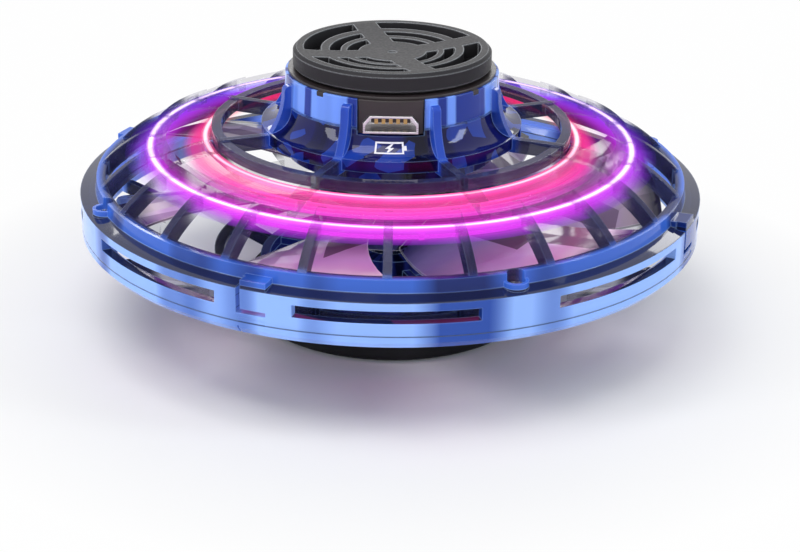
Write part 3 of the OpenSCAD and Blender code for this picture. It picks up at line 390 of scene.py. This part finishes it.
def clear_blade(name, tints):
    """Pale clear plastic of the blades: tint by radius, painted shade and light in straight-edged
    spots, painted bright edges and the rings' painted light.
    """
    material, tree, shader = new_material(name)
    surface = use(tree, moulded_surface, Grain_Scale=400, Grain_Depth=0.06, Edge_Radius=0.0002)
    radius = use(tree, polar_place)["Radius"]
    tint = ramp(tree, calc(tree, "DIVIDE", radius, CAGE_RADIUS), tints)
    # Painted shade and light: straight-edged spots that darken or lighten the tint
    painted_patches = span(tree, use(tree, painted_facets, Scale=85)["Shade"], 0.3, 0.75, 0.3, 1.1)
    shade = add(tree, "ShaderNodeHueSaturation", {"Value": painted_patches, "Color": tint}).outputs[0]
    # Painted light: the rings' glow near them and pale edge highlights, as emission
    halo = product(tree, use(tree, ring_halo, Reach=6.5)["Strength"], 0.05)
    shine = blend(tree, halo, BLACK, use(tree, light_hue)["Colour"])
    shine = blend(tree, product(tree, surface["Edge"], 0.35), shine, (0.9, 0.88, 1))
    feed_all(tree, shader, {
        "Base Color": shade, "Transmission Weight": 0.1, "IOR": CLEAR_IOR, "Roughness": 0.12,
        "Normal": surface["Normal"], "Specular IOR Level": 0.3,
        "Emission Color": shine, "Emission Strength": 1.0})
    return material


def solid_plastic(name, dark, light, rough, grain=1800, depth=0.35, edge=0.0002,
                  coat=0.0, metal=0.0, edge_highlight=0.0, gloss=0.5):
    """Opaque moulding or finish with cloudy shade, fine grain and edges that may carry a painted
    highlight.
    """
    material, tree, shader = new_material(name)
    surface = use(tree, moulded_surface, Grain_Scale=grain, Grain_Depth=depth, Edge_Radius=edge)
    shade = blend(tree, span(tree, surface["Cloud"], *NOISE_RANGE), dark, light)
    # Painted highlight: edges lightened towards pale grey
    if edge_highlight:
        shade = blend(tree, product(tree, surface["Edge"], edge_highlight), shade, (0.55, 0.57, 0.60))
    feed_all(tree, shader, {
        "Base Color": shade,
        "Roughness": span(tree, surface["Grain"], *NOISE_RANGE, rough * 0.8, rough * 1.2),
        "Normal": surface["Normal"], "Coat Weight": coat, "Coat Roughness": 0.15,
        "Metallic": metal, "Specular IOR Level": gloss})
    return material


def brushed_metal(name, dark, light, rough, turned=True):
    """Metal with fine turned lines, or lines that change with the height."""
    material, tree, shader = new_material(name)
    surface = use(tree, moulded_surface, Grain_Scale=2500, Grain_Depth=0.2, Edge_Radius=0.0001)
    along = use(tree, polar_place)["Radius" if turned else "Height"]
    line = noise(tree, {"W": product(tree, along, 9), "Scale": 1, "Detail": 3},
                 noise_dimensions="1D")
    feed_all(tree, shader, {
        "Base Color": blend(tree, line, dark, light),
        "Roughness": span(tree, line, *NOISE_RANGE, rough * 0.8, rough * 1.3),
        "Normal": surface["Normal"], "Metallic": 1.0})
    return material


def light_guide(name, radius, height, width, core, strength):
    """Light guide: a thin pale core along its top, clear sides, and strands lit at the front."""
    material, tree, shader = new_material(name)
    surface = use(tree, moulded_surface, Grain_Scale=900, Grain_Depth=0.1, Edge_Radius=0.0003)
    place = use(tree, polar_place)
    out, up, front = place["Radius"], place["Height"], place["Front"]

    middle = use(tree, soft_band, Value=out, Centre=radius, Width=width)["Mask"]
    near = product(tree, middle, span(tree, up, height - 0.2, height + 0.5))
    # Painted light: the strands between the rings and the walls beside the core glow more towards
    # the front
    between = product(tree, span(tree, out, *STRANDS_INSIDE), span(tree, out, *STRANDS_OUTSIDE))
    strand = product(tree, between, span(tree, front, 0.6, FRONT_FULL))
    away = calc(tree, "ABSOLUTE", calc(tree, "SUBTRACT", out, radius))
    wall = product(tree, span(tree, away, 0.85, 0.75),
                   span(tree, up, height - 0.65, height + 0.6))
    wall = product(tree, wall, span(tree, front, 0.2, FRONT_FULL, 0.1, 0.9))
    glow = larger(tree, product(tree, strand, 0.8), wall)
    dim_glow = product(tree, glow, 0.75)

    along = noise(tree, {"Vector": place["Heading"], "Scale": 1.7, "Detail": 1})
    pale = larger(tree, product(tree, near, span(tree, along, *NOISE_RANGE, 0.8, 1)),
                  product(tree, glow, 0.1))
    colour = blend(tree, pale, use(tree, light_hue)["Colour"], core)
    feed_all(tree, shader, {
        "Base Color": colour, "Roughness": 0.25, "Normal": surface["Normal"],
        "Specular IOR Level": 0.2,
        "Alpha": larger(tree, span(tree, near, 0.02, 0.6), dim_glow),
        "Emission Color": blend(tree, larger(tree, near, dim_glow), BLACK, colour),
        "Emission Strength": strength})
    return material


def light_haze(name, radius, widths, streak):
    """Soft light round a ring: strong near it, streaked along it in front, clear at its edges."""
    material, tree, shader = new_material(name)
    place = use(tree, polar_place)
    out, front = place["Radius"], place["Front"]
    width = span(tree, front, 0.55, FRONT_FULL, *widths)
    near = use(tree, soft_band, Value=out, Centre=radius, Width=width)["Mask"]
    fine = noise(tree, {"W": product(tree, out, streak), "Scale": 1, "Detail": 2},
                 noise_dimensions="1D")
    slow = noise(tree, {"Vector": place["Heading"], "Scale": 1.3, "Detail": 1})
    gaps = product(tree, span(tree, fine, 0.3, 0.68, 0.5, 0), front)
    lines = product(tree, calc(tree, "SUBTRACT", 1, gaps),
                    span(tree, slow, *NOISE_RANGE, 0.75, 1))
    lines = product(tree, lines, span(tree, front, 0.2, FRONT_FULL, 0.7, 0.8))
    feed_all(tree, shader, {
        "Base Color": (*BLACK, 1), "Roughness": 0.5, "Specular IOR Level": 0.0,
        "Alpha": product(tree, near, lines),
        "Emission Color": use(tree, light_hue)["Colour"], "Emission Strength": 1.2})
    return material


# Maker and values of each finish; all but the last two are named for a slot of the record
# Dark and light of the rim's painted reflection stripes
RIM_TINTS = ((0.025, 0.09, 0.46), (0.27, 0.45, 0.92))
FINISHES = {
    "clear_blue": (clear_cage, dict(
        rim_tints=RIM_TINTS, band_tints=((0.008, 0.03, 0.26), (0.16, 0.32, 0.88)),
        hub_tints=((0.001, 0.001, 0.018), (0.004, 0.005, 0.08)), fin_tint=(0.015, 0.06, 0.42),
        rib_tints=((0.018, 0.018, 0.06), (0.045, 0.045, 0.13)), rib_veil=0.8)),
    "clear_light": (light_guide, dict(
        radius=INNER_LIGHT[0], height=INNER_LIGHT[1], width=0.36, core=(1, 0.46, 0.58),
        strength=1.1)),
    "blade_clear": (clear_blade, dict(tints=[
        (0.2, (0.02, 0.03, 0.20)), (0.50, (0.24, 0.22, 0.46)), (0.68, (0.56, 0.62, 0.70)),
        (0.79, (0.78, 0.82, 0.68)), (0.86, (0.03, 0.03, 0.06))])),
    "black_plastic": (solid_plastic, dict(
        dark=(0.012, 0.009, 0.010), light=(0.030, 0.022, 0.024), rough=0.36)),
    # Gunmetal with a painted highlight along its edges
    "gunmetal": (solid_plastic, dict(
        dark=(0.026, 0.025, 0.028), light=(0.036, 0.035, 0.038), rough=0.45,
        grain=2600, depth=0.25, edge=0.00036, edge_highlight=0.8, gloss=0.06)),
    "foot_black": (solid_plastic, dict(
        dark=(0.006, 0.006, 0.007), light=(0.012, 0.012, 0.014), rough=0.48,
        grain=1400, depth=0.5, gloss=0.15)),
    "steel": (brushed_metal, dict(
        dark=(0.50, 0.50, 0.52), light=(0.72, 0.72, 0.74), rough=0.25)),
    "socket_steel": (brushed_metal, dict(
        dark=(0.62, 0.60, 0.62), light=(0.80, 0.78, 0.80), rough=0.3, turned=False)),
    "gold": (brushed_metal, dict(
        dark=(0.45, 0.30, 0.10), light=(0.62, 0.44, 0.18), rough=0.3, turned=False)),
    "board_green": (solid_plastic, dict(
        dark=(0.01, 0.07, 0.03), light=(0.02, 0.12, 0.05), rough=0.4,
        grain=900, depth=0.3, edge=0.0001, coat=0.4)),
    "chip_black": (solid_plastic, dict(
        dark=(0.012, 0.012, 0.014), light=(0.026, 0.026, 0.030), rough=0.5)),
    "led_white": (light_guide, dict(
        radius=11.8, height=0, width=0.45, core=(0.75, 0.88, 1), strength=4.0)),
    "cell_foil": (brushed_metal, dict(
        dark=(0.55, 0.56, 0.60), light=(0.75, 0.76, 0.80), rough=0.35, turned=False)),
    "lead_red": (solid_plastic, dict(
        dark=(0.30, 0.01, 0.01), light=(0.45, 0.02, 0.02), rough=0.4)),
    "lead_blue": (solid_plastic, dict(
        dark=(0.01, 0.02, 0.25), light=(0.02, 0.04, 0.40), rough=0.4)),
    "aluminium": (brushed_metal, dict(
        dark=(0.55, 0.56, 0.60), light=(0.76, 0.77, 0.80), rough=0.3)),
    "bronze": (brushed_metal, dict(
        dark=(0.45, 0.28, 0.12), light=(0.62, 0.42, 0.20), rough=0.35)),
    "laminated_iron": (brushed_metal, dict(
        dark=(0.20, 0.20, 0.22), light=(0.34, 0.34, 0.36), rough=0.4, turned=False)),
    "copper": (brushed_metal, dict(
        dark=(0.55, 0.22, 0.09), light=(0.78, 0.38, 0.18), rough=0.3, turned=False)),
    "bell_grey": (brushed_metal, dict(
        dark=(0.16, 0.16, 0.20), light=(0.30, 0.30, 0.36), rough=0.3)),
    "magnet_grey": (solid_plastic, dict(
        dark=(0.08, 0.08, 0.09), light=(0.13, 0.13, 0.14), rough=0.4, metal=0.6)),
    "outer_light": (light_guide, dict(
        radius=OUTER_LIGHT[0], height=OUTER_LIGHT[1], width=0.42, core=(0.86, 0.62, 0.98),
        strength=1.1)),
    # Darker copy of the cage plastic for the lower cage: painted shade of the cage's inside
    "deep_blue": (clear_cage, dict(
        rim_tints=RIM_TINTS, band_tints=((0.008, 0.012, 0.10), (0.02, 0.04, 0.25)),
        hub_tints=((0.004, 0.006, 0.05), (0.012, 0.02, 0.15)), fin_tint=(0.01, 0.02, 0.15),
        rib_tints=((0.004, 0.005, 0.04), (0.010, 0.014, 0.09)), rib_veil=0.9)),
}

finish_of = {name: make(name, **values) for name, (make, values) in FINISHES.items()}
slot_of_node = {entry["node"]: entry["material_slot"] for entry in frame["record"]["subparts"]}
for name, node in nodes.items():
    node.data.materials.clear()
    node.data.materials.append(finish_of[slot_of_node[name]])
nodes["outer_light_ring"].data.materials[0] = finish_of["outer_light"]
# The lower cage takes the darker copy: painted shade
nodes["lower_cage"].data.materials[0] = finish_of["deep_blue"]


# Soft light round the rings

def make_ring_tube():
    """Geometry nodes: a closed tube of oval section round the axis, with its sizes as inputs."""
    tree = bpy.data.node_groups.new("ring_tube", "GeometryNodeTree")
    sockets = {}
    for label, kind in (("Radius", "NodeSocketFloat"), ("Height", "NodeSocketFloat"),
                        ("Half Width", "NodeSocketFloat"), ("Half Depth", "NodeSocketFloat"),
                        ("Steps", "NodeSocketInt"), ("Finish", "NodeSocketMaterial")):
        socket = tree.interface.new_socket(name=label, in_out="INPUT", socket_type=kind)
        sockets[label] = socket.identifier
    tree.interface.new_socket(name="Geometry", in_out="OUTPUT", socket_type="NodeSocketGeometry")
    enter = tree.nodes.new("NodeGroupInput").outputs
    leave = tree.nodes.new("NodeGroupOutput")
    path = add(tree, "GeometryNodeCurvePrimitiveCircle", {
        "Resolution": enter["Steps"], "Radius": enter["Radius"]}, mode="RADIUS")
    lift = add(tree, "ShaderNodeCombineXYZ", {"Z": enter["Height"]})
    raised = add(tree, "GeometryNodeTransform", {
        "Geometry": path.outputs[0], "Translation": lift.outputs[0]})
    section = add(tree, "GeometryNodeCurvePrimitiveCircle", {
        "Resolution": 20, "Radius": 1.0}, mode="RADIUS")
    oval = add(tree, "ShaderNodeCombineXYZ", {
        "X": enter["Half Width"], "Y": enter["Half Depth"], "Z": 1.0})
    shaped = add(tree, "GeometryNodeTransform", {
        "Geometry": section.outputs[0], "Scale": oval.outputs[0]})
    tube = add(tree, "GeometryNodeCurveToMesh", {
        "Curve": raised.outputs[0], "Profile Curve": shaped.outputs[0]})
    smooth = add(tree, "GeometryNodeSetShadeSmooth", {0: tube.outputs[0]})
    whole = add(tree, "GeometryNodeRealizeInstances", {0: smooth.outputs[0]})
    painted = add(tree, "GeometryNodeSetMaterial", {
        "Geometry": whole.outputs[0], "Material": enter["Finish"]})
    feed(tree, leave, 0, painted.outputs[0])
    return tree, sockets


ring_tube, ring_inputs = make_ring_tube()


def ring_piece(name, radius, height, half_width, half_depth, finish):
    """Ring-shaped piece fixed to the cage, sizes in millimetres."""
    holder = bpy.data.objects.new(name + "_path", bpy.data.meshes.new(name + "_path"))
    bpy.context.scene.collection.objects.link(holder)
    modifier = holder.modifiers.new("ring_tube", "NODES")
    modifier.node_group = ring_tube
    values = {"Radius": radius * MM, "Height": height * MM, "Half Width": half_width * MM,
              "Half Depth": half_depth * MM, "Steps": 256, "Finish": finish}
    for label, value in values.items():
        modifier[ring_inputs[label]] = value
    bpy.context.view_layer.update()
    depsgraph = bpy.context.evaluated_depsgraph_get()
    made = bpy.data.meshes.new_from_object(holder.evaluated_get(depsgraph))
    bpy.data.objects.remove(holder)
    piece = bpy.data.objects.new(name, made)
    bpy.context.scene.collection.objects.link(piece)
    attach(piece, "airframe")


inner_haze = light_haze("inner_haze", 28.3, (1.3, 3.4), 3.1)
outer_haze = light_haze("outer_haze", 34.4, (2.2, 3.0), 3.7)
ring_piece("inner_light_haze", 28.8, 25.4, 4.2, 0.2, inner_haze)
ring_piece("outer_light_haze", 34.6, 24.9, 3.8, 0.2, outer_haze)


# Printed charging mark on the flare of the hub, below the socket

FLARE_ARC, FLARE_AXIS_R, FLARE_AXIS_Z = 3.3, 18.8, 32.4
MARK_RADIUS = 16.9
PRINT_HEIGHT = 0.03
PATCH_STEPS = 6


def flare_point(across, slope):
    """Point just off the hub's flare, mm round from the front and degrees down the flare."""
    reach = FLARE_ARC - PRINT_HEIGHT
    radius = FLARE_AXIS_R - reach * math.cos(math.radians(slope))
    height = FLARE_AXIS_Z - reach * math.sin(math.radians(slope))
    turn = -math.pi / 2 + across / MARK_RADIUS
    return Vector((radius * math.cos(turn), radius * math.sin(turn), height)) * MM


def mark_patch(points, faces, corners):
    """Adds one four-sided patch of the mark, bent to the surface."""
    first = len(points)
    (ax, ay), (bx, by), (cx, cy), (dx, dy) = corners
    for i in range(PATCH_STEPS + 1):
        t = i / PATCH_STEPS
        points.append(flare_point(ax + (bx - ax) * t, ay + (by - ay) * t))
        points.append(flare_point(dx + (cx - dx) * t, dy + (cy - dy) * t))
    for i in range(PATCH_STEPS):
        k = first + 2 * i
        faces.append((k, k + 1, k + 3, k + 2))


def charging_mark():
    """Outline of a cell with a bolt in it."""
    left, right, top, low = -2.2, 1.9, 26, 58
    line_x, line_y = 0.26, 4.2
    inner_top, inner_low = top + line_y, low - line_y
    knob, knob_top, knob_low = right + 0.4, 36, 48
    points, faces = [], []
    for corners in (
            ((left, top), (right, top), (right, inner_top), (left, inner_top)),
            ((left, inner_low), (right, inner_low), (right, low), (left, low)),
            ((left, inner_top), (left + line_x, inner_top),
             (left + line_x, inner_low), (left, inner_low)),
            ((right - line_x, inner_top), (right, inner_top),
             (right, inner_low), (right - line_x, inner_low)),
            ((right, knob_top), (knob, knob_top), (knob, knob_low), (right, knob_low)),
            ((0.15, 31), (0.45, 31), (-0.15, 43), (-0.75, 43)),
            ((-0.15, 41), (0.55, 41), (-0.25, 53), (-0.50, 53))):
        mark_patch(points, faces, corners)
    mesh = bpy.data.meshes.new("charging_mark")
    mesh.from_pydata(points, [], faces)
    mesh.validate()
    piece = bpy.data.objects.new("charging_mark", mesh)
    bpy.context.scene.collection.objects.link(piece)
    mesh.materials.append(solid_plastic("mark_print", (0.75, 0.74, 0.82), (0.90, 0.89, 0.95), 0.5,
                                        edge=0.00002))
    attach(piece, "airframe")


charging_mark()


# Stage, lights and camera

FLOOR_HALF, FLOOR_GAP = 2.5, 0.0002
# The floor shows its own shade and shadow within the first distance, and white past the second
SHADOW_REACH = (0.035, 0.075)
SHOWN_WHITE = 0.97
WORLD_FILL = 0.22
LIGHT_AIM = (0, 0, 0.022)

# Camera found from the photograph: focal length in pixels of its width, tilt and roll in degrees
PHOTO_WIDTH, FOCAL_PIXELS, SENSOR_WIDTH = 800, 1865.2, 36
CAMERA_TILT, CAMERA_ROLL = 23.11, 0.9
CAMERA_PLACE = (1.59 * MM, -257.5 * MM, 114.2 * MM)


def seen_directly(tree):
    """Mask of the rays that show the stage: from the camera, reflected or through clear plastic."""
    paths = add(tree, "ShaderNodeLightPath").outputs
    shown = larger(tree, paths["Is Camera Ray"], paths["Is Glossy Ray"])
    return larger(tree, shown, paths["Is Transmission Ray"])


def make_floor():
    """Plain pale floor, white away from the part, that keeps the part's own shadow near it."""
    mesh = bpy.data.meshes.new("floor")
    half = FLOOR_HALF
    mesh.from_pydata([(-half, -half, 0), (half, -half, 0), (half, half, 0), (-half, half, 0)],
                     [], [(0, 1, 2, 3)])
    floor = bpy.data.objects.new("floor", mesh)
    floor.location.z = cad_low.z - FLOOR_GAP
    bpy.context.scene.collection.objects.link(floor)
    material, tree, shader = new_material("floor_pale")
    place = object_place(tree)
    cloud = noise(tree, {"Vector": place, "Scale": 6})
    feed_all(tree, shader, {
        "Base Color": blend(tree, cloud, (0.78, 0.78, 0.80), (0.82, 0.82, 0.84)),
        "Roughness": 0.7, "Specular IOR Level": 0.1})
    glow = add(tree, "ShaderNodeEmission", {"Color": (*WHITE, 1), "Strength": 1.0})
    away = vector_calc(tree, "LENGTH", "Value", place)
    white = product(tree, seen_directly(tree), span(tree, away, *SHADOW_REACH, 0.0, SHOWN_WHITE))
    mix = add(tree, "ShaderNodeMixShader", {0: white, 1: shader.outputs[0], 2: glow.outputs[0]})
    feed(tree, tree.nodes["Material Output"], "Surface", mix.outputs[0])
    mesh.materials.append(material)


def make_world():
    """White where the camera, gloss or clear plastic shows it, and grey as fill light."""
    world = bpy.data.worlds.new("studio")
    bpy.context.scene.world = world
    world.use_nodes = True
    tree = world.node_tree
    seen = seen_directly(tree)
    feed_all(tree, tree.nodes["Background"], {
        "Color": blend(tree, seen, (0.62, 0.66, 0.74), WHITE),
        "Strength": span(tree, seen, 0, 1, WORLD_FILL, 1.0)})


def area_light(name, place, size, watts, colour):
    """Soft rectangular light that looks at the part's middle."""
    data = bpy.data.lights.new(name, "AREA")
    data.shape = "RECTANGLE"
    data.size, data.size_y = size
    data.energy = watts
    data.color = colour
    light = bpy.data.objects.new(name, data)
    light.location = place
    aim = Vector(LIGHT_AIM) - Vector(place)
    light.rotation_euler = aim.to_track_quat("-Z", "Y").to_euler()
    bpy.context.scene.collection.objects.link(light)


def make_lights():
    """Softbox above, strips at both sides and behind, and a low front fill."""
    area_light("softbox", (-0.10, -0.12, 0.48), (0.36, 0.30), 1.5, (1, 0.99, 0.98))
    area_light("left_strip", (-0.42, -0.20, 0.20), (0.10, 0.40), 1.0, (0.96, 0.97, 1))
    area_light("right_strip", (0.42, -0.10, 0.22), (0.08, 0.36), 0.9, (0.90, 0.97, 1))
    area_light("front_fill", (0.05, -0.50, 0.14), (0.40, 0.10), 0.45, WHITE)
    area_light("rear_strip", (0.05, 0.45, 0.26), (0.50, 0.08), 0.7, WHITE)


def make_camera():
    """Camera at the photograph's height and distance, with its slight roll."""
    tilt, roll = math.radians(CAMERA_TILT), math.radians(CAMERA_ROLL)
    ahead = Vector((0, math.cos(tilt), -math.sin(tilt)))
    upright = Vector((0, math.sin(tilt), math.cos(tilt)))
    level = Vector((1, 0, 0))
    right = level * math.cos(roll) + upright * math.sin(roll)
    up = upright * math.cos(roll) - level * math.sin(roll)
    data = bpy.data.cameras.new("camera")
    data.sensor_width = SENSOR_WIDTH
    data.lens = FOCAL_PIXELS / PHOTO_WIDTH * SENSOR_WIDTH
    data.clip_start = 0.01
    camera = bpy.data.objects.new("camera", data)
    turn = Matrix((right, up, -ahead)).transposed()
    camera.matrix_world = Matrix.Translation(CAMERA_PLACE) @ turn.to_4x4()
    bpy.context.scene.collection.objects.link(camera)
    bpy.context.scene.camera = camera


make_floor()
make_world()
make_lights()
make_camera()
bpy.context.scene.view_settings.view_transform = "Standard"
